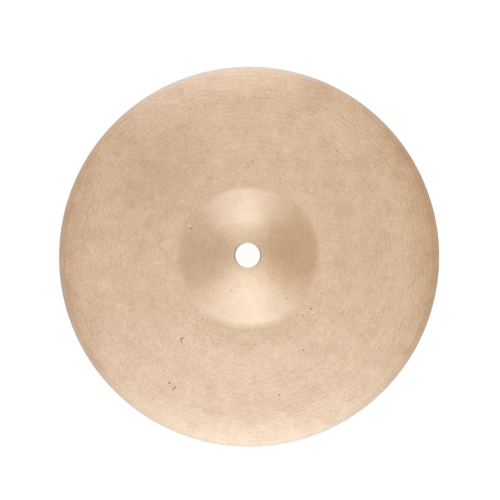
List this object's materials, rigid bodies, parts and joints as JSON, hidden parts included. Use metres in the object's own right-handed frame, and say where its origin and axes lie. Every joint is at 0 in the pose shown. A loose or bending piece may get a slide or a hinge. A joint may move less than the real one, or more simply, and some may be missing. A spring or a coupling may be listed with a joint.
{
  "type": "splash cymbal",
  "caption": "Thin round splash cymbal of lathed bronze: a domed bell with a clear centre hole for a stand's rod, a hollow shoulder, and a shallow bow that rolls down to a thin rim.",
  "frame": {"origin": "on the cymbal's axis, level with the circle that its rim rests on", "axes": "+Z along the cymbal's axis, up through the bell's crown; the shape is the same all round the axis, so +X and +Y are any two directions square to it"},
  "size_m": [0.2032, 0.2032, 0.0202],
  "materials": {
    "bell_bronze": "satin, hammered and lathed, clear lacquered"
  },
  "bodies": {
    "root": {"cymbal": "bell_bronze"}
  },
  "joints": []
}
